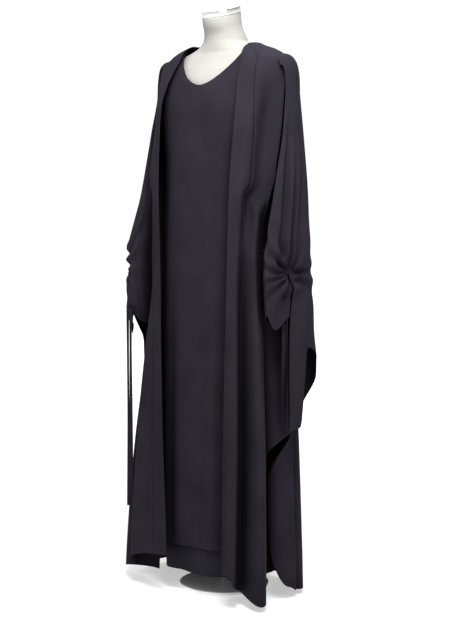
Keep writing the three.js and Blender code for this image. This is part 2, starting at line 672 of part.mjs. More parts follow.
function buildTies() {
  TIES.forEach(({ name, x, y, topZ, bottomZ }) => {
    const path = new THREE.LineCurve3(new THREE.Vector3(x, y, topZ), new THREE.Vector3(x, y, bottomZ));
    const outline = new THREE.Shape([[-1, -1], [1, -1], [1, 1], [-1, 1]]
      .map(([u, v]) => new THREE.Vector2(u * TIE.thickness / 2, v * TIE.width / 2)));
    const strip = new THREE.ExtrudeGeometry(outline, { steps: TIE.steps, extrudePath: path });
    add(`tie_${name}`, strip, colours.crepe);
  });
}

buildForm();
buildCap();
buildStand();
buildDress();
buildUnderskirt();
buildFronts();
buildBack();
buildSides();
buildSleeves();
buildTies();

export default model;
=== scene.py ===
import math

import bpy
import numpy as np
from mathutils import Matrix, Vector


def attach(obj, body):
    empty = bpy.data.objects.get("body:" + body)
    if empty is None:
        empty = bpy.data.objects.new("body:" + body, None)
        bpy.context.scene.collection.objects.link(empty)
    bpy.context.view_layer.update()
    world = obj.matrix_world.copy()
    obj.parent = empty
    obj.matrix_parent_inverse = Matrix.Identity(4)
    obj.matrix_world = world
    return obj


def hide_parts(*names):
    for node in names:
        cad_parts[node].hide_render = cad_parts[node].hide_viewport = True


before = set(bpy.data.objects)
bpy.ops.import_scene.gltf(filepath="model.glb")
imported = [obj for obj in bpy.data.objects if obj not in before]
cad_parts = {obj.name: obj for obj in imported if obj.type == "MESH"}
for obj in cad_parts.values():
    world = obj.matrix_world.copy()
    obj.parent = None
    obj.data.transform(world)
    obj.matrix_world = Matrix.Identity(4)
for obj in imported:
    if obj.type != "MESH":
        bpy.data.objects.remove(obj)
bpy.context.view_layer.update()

# All tables are in millimetres, in the row frame. Meshes are made in metres.
MM = 0.001
ABAYA_TOP_Z = 1432
MIDDLE_Y = 6
BACK_SQUARE = 2.2
# Thickness of the cloth, and of the folded cloth in the bands
CLOTH = 1.3
BAND_CLOTH = 1.6
# From this height down a fold lies at its lower place.
FOLD_FOOT_Z = 60
SIDES = ("left", "right")
SIGN = {"left": 1, "right": -1}


def table(names, *rows):
    """Rows of numbers as one array for each name."""
    columns = names.split()
    return {name: np.array([row[i] for row in rows], float) for i, name in enumerate(columns)}


def smooth(start, end, value):
    """0 up to start, 1 from end on, and soft between."""
    share = np.clip((np.asarray(value, float) - start) / (end - start), 0, 1)
    return share * share * (3 - 2 * share)


def mix(start, end, share):
    return start + (end - start) * share


def bell(value, width):
    """1 at 0, falling away softly to both sides."""
    return np.exp(-((value / width) ** 2))


def follow(rows, name, key="z"):
    """A smooth curve through one column of a table, which never swings past its rows."""
    order = np.argsort(rows[key])
    x, y = rows[key][order], rows[name][order]
    slopes = np.diff(y) / np.diff(x)
    before = np.concatenate([slopes[:1], slopes])
    after = np.concatenate([slopes, slopes[-1:]])
    same = before * after > 0
    total = np.where(same, before + after, 1)
    tangents = np.where(same, 2 * before * after / total, 0)

    def curve(value):
        value = np.clip(np.asarray(value, float), x[0], x[-1])
        i = np.clip(np.searchsorted(x, value), 1, len(x) - 1)
        span = x[i] - x[i - 1]
        t = (value - x[i - 1]) / span
        return (
            (2 * t**3 - 3 * t**2 + 1) * y[i - 1]
            + (t**3 - 2 * t**2 + t) * span * tangents[i - 1]
            + (3 * t**2 - 2 * t**3) * y[i]
            + (t**3 - t**2) * span * tangents[i]
        )

    return curve


def sections(rows):
    """A function that gives every size of a section at the height z."""
    curves = {name: follow(rows, name) for name in rows if name != "z"}
    return lambda z: {name: curve(z) for name, curve in curves.items()}


# Sections, the same as the solids'
form_at = sections(table(
    "z half front back square",
    (1440, 63.2, 51.2, 55.2, 2),
    (1426, 77.2, 51.2, 59.2, 2),
    (1412, 111.2, 51.2, 62.2, 2),
    (1400, 149.2, 55.4, 71.6, 2),
    (1386, 172.2, 62.7, 80.3, 2),
    (1366, 182, 75.7, 88.9, 2.1),
    (1330, 183, 92.2, 96.8, 2.3),
    (1240, 161.2, 111.2, 95.2, 2.4),
    (1160, 143.2, 103.2, 87.2, 2.4),
    (1060, 127.2, 91.2, 79.2, 2.3),
    (900, 151.2, 103.2, 99.2, 2.3),
    (760, 145.2, 95.2, 93.2, 2.3),
))
dress_at = sections(table(
    "z half front back square",
    (1434, 86, 58, 64, 2),
    (1420, 116, 60, 71, 2),
    (1408, 151.6, 65, 81.4, 2),
    (1392, 177.2, 73, 90, 2),
    (1368, 187.2, 86, 97.9, 2.1),
    (1330, 188, 103, 104.6, 2.3),
    (1240, 172, 121, 105, 2.5),
    (1060, 160, 126, 106, 2.6),
    (870, 160, 131, 110, 2.7),
    (500, 158, 140, 118, 2.7),
    (40, 162, 148, 128, 2.7),
))
abaya_at = sections(table(
    "z left right frontLeft frontRight back square",
    (1440, 89.1, 86.2, 66, 66, 67.2, 2),
    (1428, 111.3, 108.4, 67, 67, 75.4, 2),
    (1416, 148, 148, 70, 70, 86, 2),
    (1402, 175, 175, 76, 76, 95, 2),
    (1386, 192, 192, 84, 84, 104, 2),
    (1364, 200, 200, 97, 97, 108, 2.1),
    (1327, 202, 202, 115, 115, 114, 2.3),
    (1269, 200, 200, 132, 132, 117, 2.5),
    (1207, 196, 196, 147, 141, 118, 2.6),
    (1020, 191, 191, 174, 155, 121, 2.7),
    (806, 194, 194, 182, 157, 127, 2.7),
    (645, 200, 216, 188, 166, 132, 2.7),
    (365, 212, 250, 203, 176, 140, 2.7),
    (170, 216, 266, 214, 183, 148, 2.7),
    (0, 220, 276, 226, 190, 156, 2.7),
))
edge_at = sections(table(
    "z left right",
    (1440, 100, 96),
    (1402, 103, 97),
    (1362, 112, 105),
    (1327, 119, 114),
    (1269, 126, 124),
    (1207, 129, 123),
    (1020, 131, 113),
    (806, 131, 100),
    (645, 132, 87),
    (365, 138, 66),
    (170, 142, 51),
    (0, 147, 37),
))
side_at = sections(table(
    "z x y",
    (1440, 0, 0),
    (1384, 211, -9),
    (1300, 211, -19),
    (1200, 214, -36),
    (1100, 214, -57),
    (1030, 197, -62),
    (960, 176, -58),
    (850, 168, -54),
    (500, 170, -52),
    (0, 180, -60),
))
sleeve_at = sections(table(
    "z bodyX bodyY innerX innerY frontX frontY outerX outerY edgeX edgeY",
    (1300, 218, 2, 216, -8, 223, -27, 233, 2, 219, 38),
    (1200, 221, -8, 220, -26, 226, -42, 240, -4, 224, 46),
    (1100, 218, -10, 218, -48, 228, -68, 247, -10, 230, 50),
    (1000, 211, -4, 212, -66, 230, -94, 250, -22, 236, 56),
    (900, 206, 4, 208, -90, 232, -119, 251, -34, 241, 60),
    (850, 205, 8, 208, -98, 235, -127, 249, -38, 243, 62),
    (800, 206, 8, 209, -97, 233, -123, 248, -37, 245, 64),
    (700, 207, 8, 210, -90, 230, -113, 246, -38, 249, 67),
    (600, 208, 8, 211, -86, 230, -108, 245, -37, 255, 74),
    (440, 210, 8, 212, -80, 228, -100, 239, -31, 250, 72),
))

# Folds: place in degrees at the top and at the bottom, depth, width, the heights between which a fold
# grows, and the heights between which it dies away
FOLD_NAMES = "at to depth width top full fade gone"
FOLDS = {
    "left": table(
        FOLD_NAMES,
        (43, 43, 12, 5, 1150, 300, -50, -99),
        (52, 52, -20, 4.5, 1120, 300, -50, -99),
        (63, 63, 44, 8, 1000, -100, -150, -199),
    ),
    "right": table(
        FOLD_NAMES,
        (40, 40, 8, 6, 1000, 200, -50, -99),
        (51, 51, -12, 5, 1000, 200, -50, -99),
        (62, 62, 10, 7, 900, 0, -50, -99),
    ),
    "back": table(
        FOLD_NAMES,
        (-150, -150, 16, 9, 1150, 100, -50, -99),
        (-131, -131, -14, 8, 1100, 100, -50, -99),
        (-112, -112, 12, 8, 1000, 0, -50, -99),
        (108, 108, 8, 8, 900, 0, -50, -99),
        (128, 128, -14, 8, 1100, 100, -50, -99),
        (147, 147, 16, 9, 1150, 100, -50, -99),
        (166, 166, -12, 8, 1200, 100, -50, -99),
        (183, 183, 14, 8, 1150, 100, -50, -99),
        (-163, -163, -10, 7, 1200, 100, -50, -99),
    ),
}
FINE_FOLDS = {
    "left": table(
        FOLD_NAMES,
        (33, 35, -4.5, 2.4, 1010, 560, -50, -99),
        (38, 38.5, 6, 2.4, 980, 500, -50, -99),
        (46, 46, 6, 2.4, 1000, 420, -50, -99),
        (52, 52.5, -20, 3.4, 1120, 380, -50, -99),
        (58, 59, 9, 3, 1000, 500, -50, -99),
        (64, 65, 10, 4, 1080, 700, -50, -99),
        (58, 54, -17, 4.5, 1385, 1250, 1060, 900),
        (67, 64, 10, 4, 1385, 1260, 1060, 880),
        (48, 47, 4, 4, 1360, 1230, 1060, 900),
        (44, 41, -3, 3, 1300, 1150, 980, 700),
    ),
    "right": table(
        FOLD_NAMES,
        (28, 24, -5, 3.4, 1050, 500, -50, -99),
        (38, 35, 6, 3.4, 1000, 440, -50, -99),
        (46, 45, -7, 3, 960, 400, -50, -99),
        (57, 55, -9, 3.2, 900, 300, -50, -99),
        (67, 66, 7, 3, 820, 260, -50, -99),
        (50, 44, -5, 5, 1370, 1180, 1000, 800),
        (62, 58, 4, 5, 1340, 1130, 900, 700),
    ),
    "back": table(
        FOLD_NAMES,
        (99, 100, -8, 3, 640, 300, -50, -99),
        (92, 93, 7, 3, 600, 260, -50, -99),
        (-172, -173, 5, 3.4, 1120, 500, -50, -99),
        (-156, -157, -5, 3.2, 980, 420, -50, -99),
        (-141, -140, 5, 3.4, 1010, 380, -50, -99),
        (-121, -122, -4.5, 3.2, 900, 350, -50, -99),
        (118, 119, 5, 3.2, 900, 320, -50, -99),
        (137, 136, -5, 3.2, 1050, 400, -50, -99),
        (157, 158, 4.5, 3, 990, 460, -50, -99),
        (175, 174, -4, 3.2, 1120, 420, -50, -99),
        (152, 148, -4, 5, 1400, 1290, 1100, 860),
        (-150, -145, -4, 5, 1400, 1290, 1080, 880),
        (180, 178, 4, 7, 1410, 1320, 1150, 900),
        (166, 163, 4.5, 3.6, 1350, 1180, 960, 640),
        (-167, -164, 4, 3.8, 1340, 1160, 940, 620),
        (140, 142, 4.5, 4, 1320, 1150, 900, 560),
        (-133, -134, 4.5, 4.2, 1310, 1140, 880, 540),
        (172, 170, -3, 2.6, 1250, 1060, 880, 620),
    ),
    "dress": table(
        FOLD_NAMES,
        (-34, -30, 3.4, 5, 1150, 700, -50, -99),
        (-22, -20, -3.2, 4.6, 1020, 600, -50, -99),
        (-8, -10, 3, 5.4, 1100, 560, -50, -99),
        (6, 5, -3.4, 4.8, 960, 520, -50, -99),
        (19, 18, 3.6, 5, 1060, 520, -50, -99),
        (33, 31, -3, 5, 980, 540, -50, -99),
        (-48, -44, -3, 6, 1240, 1100, 880, 600),
        (40, 36, -2.5, 7, 1240, 1120, 900, 640),
        (-62, -58, 4, 6, 1180, 700, -50, -99),
        (62, 60, 4, 6, 1180, 700, -50, -99),
        (150, 150, 4, 7, 1200, 600, -50, -99),
        (-150, -152, 4, 7, 1200, 600, -50, -99),
        (180, 178, -4, 8, 1200, 600, -50, -99),
        (120, 121, -4, 7, 1150, 600, -50, -99),
        (-120, -121, -4, 7, 1150, 600, -50, -99),
    ),
}


def folds_at(rows, degrees, z):
    """How far the folds in the rows push the cloth out, in millimetres."""
    total = np.zeros(np.broadcast(degrees, z).shape)
    for i in range(len(rows["at"])):
        row = {name: rows[name][i] for name in rows}
        centre = mix(row["at"], row["to"], smooth(row["top"], FOLD_FOOT_Z, z))
        away = (degrees - centre + 540) % 360 - 180
        grown = smooth(row["top"], row["full"], z) * (1 - smooth(row["fade"], row["gone"], z))
        total = total + row["depth"] * bell(away, row["width"]) * grown
    return total


# Slow uneven waves: how fast each one changes across and up the cloth, and its size
DRIFT_WAVES = ((0.043, 0.0031, 1.0), (0.081, 0.0052, 0.6), (0.027, 0.0087, 0.8), (0.134, 0.0044, 0.32))


def drift(place, z, seed, scale=1.0):
    """Slow uneven waves that run mostly up and down. place, across the cloth, and z are in millimetres."""
    waves = 0
    for i, (across, up, size) in enumerate(DRIFT_WAVES):
        phase = seed * 1.7 + i * 2.1
        bend = 1.3 * np.sin(z * up * 1.7 + phase * 0.7)
        waves = waves + size * np.sin(place * across + bend + phase) * np.sin(z * up + phase * 1.3)
    return waves * scale


def signed_power(value, exponent):
    return np.sign(value) * np.abs(value) ** exponent


def around(size, degrees, z, bulge=0.0):
    """Points on a section. 0 degrees is the middle of the front, 90 the wearer's left, 180 the back."""
    degrees, z = np.broadcast_arrays(np.asarray(degrees, float), np.asarray(z, float))
    across = np.sin(np.radians(degrees))
    along = np.cos(np.radians(degrees))
    exponent = 2 / np.where(along > 0, size["square"], BACK_SQUARE)
    half = size["half"] if "half" in size else np.where(across > 0, size["left"], size["right"])
    front = size["front"] if "front" in size else np.where(across > 0, size["frontLeft"], size["frontRight"])
    x = half * signed_power(across, exponent)
    y = -np.where(along > 0, front, size["back"]) * signed_power(along, exponent)
    stretch = 1 + bulge / np.hypot(x, y)
    return np.stack([x * stretch, MIDDLE_Y + y * stretch, z + 0 * x], -1)


def angle_at_x(half, x, square):
    """The angle at which a section is x wide of the middle."""
    return np.degrees(np.arcsin(np.minimum(x / half, 1) ** (square / 2)))


# Meshes
def made_mesh(name, points, faces, uv=None):
    mesh = bpy.data.meshes.new(name)
    mesh.from_pydata((np.asarray(points) * MM).tolist(), [], faces)
    if uv is not None:
        layer = mesh.uv_layers.new(name="UVMap")
        loops = np.empty(len(mesh.loops), np.int32)
        mesh.loops.foreach_get("vertex_index", loops)
        layer.data.foreach_set("uv", np.asarray(uv)[loops].astype(np.float32).ravel())
    mesh.shade_smooth()
    obj = bpy.data.objects.new(name, mesh)
    bpy.context.scene.collection.objects.link(obj)
    return obj


def ring_faces(rings, count):
    """Faces between rings of points that all have the same count."""
    return [(ring * count + i, ring * count + (i + 1) % count,
             (ring + 1) * count + (i + 1) % count, (ring + 1) * count + i)
            for ring in range(rings - 1) for i in range(count)]


def normals_of(grid, closed):
    if closed:
        across = np.roll(grid, -1, 1) - np.roll(grid, 1, 1)
    else:
        across = np.gradient(grid, axis=1)
    down = np.gradient(grid, axis=0)
    normal = np.cross(across, down)
    return normal / np.maximum(np.linalg.norm(normal, axis=2, keepdims=True), 1e-9)


def lengths_of(grid):
    """Distances along the rows and down the columns, in millimetres."""
    across = np.linalg.norm(np.diff(grid, axis=1), axis=2)
    down = np.linalg.norm(np.diff(grid, axis=0), axis=2)
    along_rows = np.concatenate([np.zeros((len(grid), 1)), np.cumsum(across, 1)], 1)
    down_columns = np.concatenate([np.zeros((1, grid.shape[1])), np.cumsum(down, 0)], 0)
    return along_rows, down_columns


def cloth(name, grid, material, inward=1, closed=False, thickness=CLOTH, is_open=None):
    """A thin closed shell. The grid holds its outer points and the cloth grows to the inside."""
    rows, columns = grid.shape[:2]
    inner = grid + normals_of(grid, closed) * inward * thickness
    along_rows, down_columns = lengths_of(grid)
    uv = np.stack([np.broadcast_to(np.median(along_rows, 0), along_rows.shape), down_columns], -1)
    uv = uv.reshape(-1, 2) * MM
    points = np.concatenate([grid.reshape(-1, 3), inner.reshape(-1, 3)])
    cells = columns if closed else columns - 1
    shown = np.ones((rows - 1, cells), bool)
    if is_open is not None:
        shown &= ~is_open
    row, column = np.nonzero(shown)
    beside = (column + 1) % columns
    upper_start, upper_end = row * columns + column, row * columns + beside
    lower_end, lower_start = (row + 1) * columns + beside, (row + 1) * columns + column
    count = rows * columns
    outer = np.stack([upper_start, upper_end, lower_end, lower_start], 1)
    faces = [outer, (outer + count)[:, ::-1]]
    padded = np.zeros((rows + 1, cells + 2), bool)
    padded[1:-1, 1:-1] = shown
    if closed:
        padded[:, 0], padded[:, -1] = padded[:, -2], padded[:, 1]
    # A cell gets a rim on each side where no cell lies beside it.
    for start, end, row_step, column_step in (
        (upper_start, upper_end, -1, 0), (upper_end, lower_end, 0, 1),
        (lower_end, lower_start, 1, 0), (lower_start, upper_start, 0, -1),
    ):
        rim = ~padded[row + 1 + row_step, column + 1 + column_step]
        faces.append(np.stack([end, start, start + count, end + count], 1)[rim])
    faces = np.concatenate(faces)
    if inward > 0:
        faces = faces[:, ::-1]
    obj = made_mesh(name, points, faces.tolist(), np.concatenate([uv, uv]))
    obj.data.materials.append(material)
    return obj


def settle(obj, slot, *nodes):
    """Hangs a piece on the root body and hides the solids that it stands for. Its slot is not used."""
    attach(obj, "root")
    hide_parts(*nodes)
    return obj


# Materials
FOLD_REACH = 0.11
CLOTH_SHINE = 0.05


def shader(name):
    material = bpy.data.materials.new(name)
    material.use_nodes = True
    tree = material.node_tree
    return material, tree, tree.nodes["Principled BSDF"]


def node(tree, kind, **values):
    """A new node. Each value goes to the node's own setting, or else to its input of that name."""
    made = tree.nodes.new(kind)
    for key, value in values.items():
        if hasattr(made, key):
            setattr(made, key, value)
        else:
            made.inputs[key.replace("_", " ")].default_value = value
    return made


def fabric(name, dark, light, roughness, grain=0.00045, weave=0.0011, sheen=0.0, painted_fold_shade=0.3):
    """Crepe: a fine pebbled grain over a plain weave, with faint uneven colour and painted shade in its
    folds.
    """
    material, tree, bsdf = shader(name)
    link = tree.links.new
    where = node(tree, "ShaderNodeTexCoord")
    cloud = node(tree, "ShaderNodeTexNoise", Scale=9.0, Detail=3.0, Roughness=0.55)
    link(where.outputs["Object"], cloud.inputs["Vector"])
    pebble = node(tree, "ShaderNodeTexNoise", Scale=1 / weave, Detail=2.0, Roughness=0.6)
    link(where.outputs["Object"], pebble.inputs["Vector"])
    blend = node(tree, "ShaderNodeMath", operation="MULTIPLY_ADD")
    link(pebble.outputs["Fac"], blend.inputs[0])
    blend.inputs[1].default_value = 0.55
    link(cloud.outputs["Fac"], blend.inputs[2])
    ramp = node(tree, "ShaderNodeValToRGB")
    ramp.color_ramp.elements[0].position = 0.45
    ramp.color_ramp.elements[0].color = (*dark, 1)
    ramp.color_ramp.elements[1].position = 1.05
    ramp.color_ramp.elements[1].color = (*light, 1)
    link(blend.outputs[0], ramp.inputs["Fac"])
    # Painted shade: the colour is darkened where ambient occlusion finds the cloth deep in a fold, as shade
    # falls there.
    depth = node(tree, "ShaderNodeAmbientOcclusion", Distance=FOLD_REACH, samples=8)
    painted_shade_scale = node(tree, "ShaderNodeMapRange", From_Min=0.3, From_Max=0.92, To_Min=painted_fold_shade, To_Max=1.0)
    shaded = node(tree, "ShaderNodeVectorMath", operation="SCALE")
    link(depth.outputs["AO"], painted_shade_scale.inputs["Value"])
    link(ramp.outputs["Color"], shaded.inputs[0])
    link(painted_shade_scale.outputs["Result"], shaded.inputs["Scale"])
    link(shaded.outputs["Vector"], bsdf.inputs["Base Color"])
    bump = node(tree, "ShaderNodeBump", Strength=0.35, Distance=grain)
    link(pebble.outputs["Fac"], bump.inputs["Height"])
    link(bump.outputs["Normal"], bsdf.inputs["Normal"])
    bsdf.inputs["Roughness"].default_value = roughness
    bsdf.inputs["Specular IOR Level"].default_value = CLOTH_SHINE
    if sheen:
        bsdf.inputs["Sheen Weight"].default_value = sheen
        bsdf.inputs["Sheen Roughness"].default_value = 0.45
        bsdf.inputs["Sheen Tint"].default_value = (0.75, 0.72, 0.85, 1)
    return material


def metal(name, colour, roughness, brushed=0.0):
    """Bare metal with an uneven polish."""
    material, tree, bsdf = shader(name)
    link = tree.links.new
    where = node(tree, "ShaderNodeTexCoord")
    grain = node(tree, "ShaderNodeTexNoise", Scale=60.0, Detail=3.0)
    stretch = node(tree, "ShaderNodeMapping")
    stretch.inputs["Scale"].default_value = (1, 1, 14 if brushed else 1)
    link(where.outputs["Object"], stretch.inputs["Vector"])
    link(stretch.outputs["Vector"], grain.inputs["Vector"])
    uneven = node(tree, "ShaderNodeMapRange", To_Min=roughness, To_Max=roughness + 0.1 + brushed)
    link(grain.outputs["Fac"], uneven.inputs["Value"])
    link(uneven.outputs["Result"], bsdf.inputs["Roughness"])
    bsdf.inputs["Base Color"].default_value = (*colour, 1)
    bsdf.inputs["Metallic"].default_value = 1
    return material


def painted(name, colour, roughness):
    """Paint with a fine orange peel."""
    material, tree, bsdf = shader(name)
    link = tree.links.new
    where = node(tree, "ShaderNodeTexCoord")
    peel = node(tree, "ShaderNodeTexNoise", Scale=420.0, Detail=2.0)
    link(where.outputs["Object"], peel.inputs["Vector"])
    bump = node(tree, "ShaderNodeBump", Strength=0.2, Distance=0.0002)
    link(peel.outputs["Fac"], bump.inputs["Height"])
    link(bump.outputs["Normal"], bsdf.inputs["Normal"])
    bsdf.inputs["Base Color"].default_value = (*colour, 1)
    bsdf.inputs["Roughness"].default_value = roughness
    return material


# Each fabric below is darkened in its folds as painted shade, the least on the ties and the form's cover.
crepe = fabric("crepe", (0.0100, 0.0089, 0.0126), (0.0171, 0.0151, 0.0210), 0.9, sheen=0.004)
inner_crepe = fabric("inner_crepe", (0.0096, 0.0090, 0.0126), (0.0158, 0.0145, 0.0203), 0.9, sheen=0.004)
tie_crepe = fabric("tie_crepe", (0.0090, 0.0080, 0.0112), (0.0154, 0.0136, 0.0190), 0.88, painted_fold_shade=0.7)
cover = fabric("form_cover", (0.255, 0.248, 0.234), (0.30, 0.292, 0.275), 0.78,
               grain=0.0003, weave=0.0016, painted_fold_shade=0.8)
polished = metal("cap_metal", (0.78, 0.78, 0.77), 0.06)
satin = metal("pole_metal", (0.6, 0.6, 0.61), 0.28, 0.15)
base_paint = painted("base_paint", (0.86, 0.86, 0.85), 0.4)
cap_top = painted("cap_top", (0.82, 0.81, 0.78), 0.35)

# Camera: where it stands, how far it looks down, and its focal length and shift in the photo's pixels
PHOTO_HEIGHT = 617
SENSOR = 36
CAMERA = {"azimuth": 39.8, "distance": 3.8, "height": 1.07, "down": 4.93, "focal": 1442, "shift": 0.9}


def build_camera():
    data = bpy.data.cameras.new("camera")
    camera = bpy.data.objects.new("camera", data)
    bpy.context.scene.collection.objects.link(camera)
    turn = math.radians(CAMERA["azimuth"])
    away = CAMERA["distance"]
    camera.location = (away * math.sin(turn), -away * math.cos(turn), CAMERA["height"])
    camera.rotation_euler = (math.radians(90 - CAMERA["down"]), 0, turn)
    data.sensor_fit = "VERTICAL"
    data.sensor_height = SENSOR
    data.sensor_width = SENSOR
    data.lens = CAMERA["focal"] / PHOTO_HEIGHT * SENSOR
    data.shift_x = CAMERA["shift"] / PHOTO_HEIGHT
    data.clip_end = 100
    bpy.context.scene.camera = camera


build_camera()

# Drawstring ties: x, y, top, bottom, and the phase of the small wave
TIES = {
    "left_front": (240, -56, 720, 455, 0.8),
    "left_back": (240, -44, 732.2, 440, 2.3),
    "right_front": (-239, -118, 746, 200, 3.1),
    "right_back": (-228, -118, 738.5, 190, 4.4),
}
TIE_STEPS = 70
TIE_WAVE_X, TIE_WAVE_Y, TIE_TWIST = 0.9, 1.1, 0.25
# Half of a tie's section, with thick stitched edges. The other half is the same turned round.
TIE_EDGE = ((-4.9, -0.3), (-4.4, -0.7), (-3.6, -0.5), (3.6, -0.5), (4.4, -0.7), (4.9, -0.3))
TIE_OUTLINE = TIE_EDGE + tuple((-across, -deep) for across, deep in TIE_EDGE)


def build_tie(name, x, y, top, bottom, phase):
    """A flat stitched strip that hangs down, with a slow twist and a small wave."""
    share = np.linspace(0, 1, TIE_STEPS)
    loose = smooth(0, 0.2, share)
    path = np.stack([
        x + TIE_WAVE_X * np.sin(share * 6 + phase) * loose,
        y + TIE_WAVE_Y * np.sin(share * 4.4 + phase * 2) * loose,
        mix(top, bottom, share),
    ], 1)
    twist = TIE_TWIST * np.sin(share * 5 + phase) * loose
    wide = np.stack([np.cos(twist), np.sin(twist), 0 * twist], 1)
    deep = np.stack([-np.sin(twist), np.cos(twist), 0 * twist], 1)
    rings = np.stack([path + wide * a + deep * b for a, b in TIE_OUTLINE], 1)
    count = len(TIE_OUTLINE)
    faces = ring_faces(TIE_STEPS, count)
    faces += [tuple(range(count))[::-1], tuple((TIE_STEPS - 1) * count + c for c in range(count))]
    obj = made_mesh(f"tie_{name}", rings.reshape(-1, 3), faces)
    obj.data.materials.append(tie_crepe)
    settle(obj, "tie", f"tie_{name}")


for name, values in TIES.items():
    build_tie(name, *values)

# Dress form: its neck leans back and ends on a slope, and its foot is rounded
NECK = {"radius": 50, "y": -10, "top": 1508, "slope": 0.27, "from": 1424, "round": 1480, "slopes": 1450}
FOOT = {"z": 782, "radius": 22}


def build_form():
    body_rows = np.concatenate([np.linspace(NECK["top"], 1440, 26), np.linspace(1438, 1360, 34),
                                np.linspace(1350, FOOT["z"], 50)])
    bends = np.linspace(0, math.pi / 2, 9)[1:]
    foot_rows = [FOOT["z"] - FOOT["radius"] * math.sin(bend) for bend in bends]
    foot_insets = [FOOT["radius"] * (1 - math.cos(bend)) for bend in bends]
    z, angle = np.meshgrid(np.concatenate([body_rows, foot_rows]), np.arange(0, 360, 3.0), indexing="ij")
    inset = np.concatenate([0 * body_rows, foot_insets])[:, None]
    body = around(form_at(z), angle, z, -inset)
    middle = mix(MIDDLE_Y, NECK["y"], smooth(NECK["from"], NECK["top"], z))
    turn = np.radians(angle)
    neck = np.stack([NECK["radius"] * np.sin(turn), middle - NECK["radius"] * np.cos(turn), z], -1)
    grid = mix(body, neck, smooth(NECK["from"], NECK["round"], z)[..., None])
    grid[..., 2] += (grid[..., 1] - NECK["y"]) * NECK["slope"] * smooth(NECK["slopes"], NECK["top"], z)
    rows, columns = z.shape
    points = np.concatenate([grid.reshape(-1, 3), [grid[0].mean(0), grid[-1].mean(0)]])
    last, ends = (rows - 1) * columns, rows * columns
    faces = ring_faces(rows, columns)
    faces += [(ends, (c + 1) % columns, c) for c in range(columns)]
    faces += [(ends + 1, last + c, last + (c + 1) % columns) for c in range(columns)]
    obj = made_mesh("form_cover", points, [face[::-1] for face in faces])
    obj.data.materials.append(cover)
    settle(obj, "form_cover", "form_torso")


def lathe(profile, sides=96):
    """A turned piece from (radius, height, material index) rows, shut at both ends."""
    turn = np.radians(np.arange(sides) * 360 / sides)
    rings = [np.stack([radius * np.cos(turn), radius * np.sin(turn), 0 * turn + height], 1)
             for radius, height, _ in profile]
    points = np.concatenate([*rings, [[0, 0, profile[0][1]], [0, 0, profile[-1][1]]]])
    faces = ring_faces(len(profile), sides)
    indices = [index for _, _, index in profile[:-1] for _ in range(sides)]
    low, high, last = len(points) - 2, len(points) - 1, (len(profile) - 1) * sides
    for c in range(sides):
        d = (c + 1) % sides
        faces += [(low, d, c), (high, last + c, last + d)]
        indices += [profile[0][2], profile[-1][2]]
    return points, faces, indices


CAP_PROFILE = (
    (50.6, 0.2, 0), (51.3, 0.5, 0), (51.5, 1.2, 0), (51.5, 13.2, 0), (51.1, 13.8, 0), (50.4, 14.2, 0),
    (50.4, 15.2, 0), (51.0, 15.7, 1), (51.2, 16.6, 1), (51.0, 18.3, 1), (50.2, 19.5, 1), (48.6, 20.3, 1),
    (42, 22.1, 1), (31, 23.7, 1), (16, 24.7, 1), (4, 25.0, 1),
)
CAP_LIFT = 0.3
POLE_PROFILE = ((13.2, 9.3, 0), (14, 9.9, 0), (14, 40, 0), (14, 700, 0), (14, 759.7, 0))
BASE_PROFILE = ((117.5, 0, 0), (119.5, 0.5, 0), (120, 1.6, 0), (120, 6.6, 0), (119.4, 8, 0),
                (118, 8.8, 0), (115, 9, 0), (60, 9, 0), (20, 9, 0))


def build_cap():
    points, faces, indices = lathe(CAP_PROFILE)
    tilt = math.atan(NECK["slope"])
    turned = np.stack([points[:, 0], points[:, 1] * math.cos(tilt) - points[:, 2] * math.sin(tilt),
                       points[:, 1] * math.sin(tilt) + points[:, 2] * math.cos(tilt)], 1)
    place = np.array([0, NECK["y"], NECK["top"] + CAP_LIFT])
    obj = made_mesh("neck_cap_turned", turned + place, faces)
    obj.data.materials.append(polished)
    obj.data.materials.append(cap_top)
    obj.data.polygons.foreach_set("material_index", indices)
    settle(obj, "cap_metal", "neck_cap")


def build_stand():
    points, faces, _ = lathe(POLE_PROFILE, 48)
    pole = made_mesh("pole_tube", points + np.array([0, MIDDLE_Y, 0]), faces)
    pole.data.materials.append(satin)
    settle(pole, "pole_metal", "stand_pole")
    points, faces, _ = lathe(BASE_PROFILE)
    base = made_mesh("base_plate", points, faces)
    base.data.materials.append(base_paint)
    settle(base, "base_paint", "stand_base")


build_form()
build_cap()
build_stand()

# Dress and underskirt
DRESS_TOP_Z, DRESS_HEM_Z = 1426, 128
DRESS_SIDE = 89.9
DRESS_EDGE_TURN, DRESS_INSET = 0.8, 0.2
ARMHOLE = {"z": 1374, "from": 40, "to": 90}
SCOOP = {"half": 103, "bottom": 1320, "power": 1.6, "rounding": 0.025, "step": 0.5}
UNDERSKIRT = {"top": 860, "hem": 58, "wave_top": 123, "inside_dress": 8.6}
# Waves of its hem: depth, number round the hem, and phase in degrees
UNDERSKIRT_WAVES = ((5, 9, 0), (1.6, 14, 40))


def armhole_top(away):
    """The dress's upper edge, by the angle from the middle of its front or back."""
    return mix(DRESS_TOP_Z, ARMHOLE["z"], smooth(ARMHOLE["from"], ARMHOLE["to"], np.abs(away)))


def scoop_top(degrees):
    """The front's upper edge. It is lowered in small steps until it lies on the scooped neckline."""
    depth = DRESS_TOP_Z - SCOOP["bottom"]
    z = np.full(np.shape(degrees), float(DRESS_TOP_Z))
    for _ in range(240):
        x = np.abs(around(dress_at(z), degrees, z)[..., 0])
        across = np.minimum(x / SCOOP["half"], 1)
        share = np.sqrt(across ** 2 * (1 - SCOOP["rounding"]) + SCOOP["rounding"])
        limit = DRESS_TOP_Z - depth * (1 - share ** SCOOP["power"]) ** (1 / SCOOP["power"])
        z = np.where((x < SCOOP["half"]) & (z > limit), z - SCOOP["step"], z)
    return np.minimum(z, armhole_top(degrees))


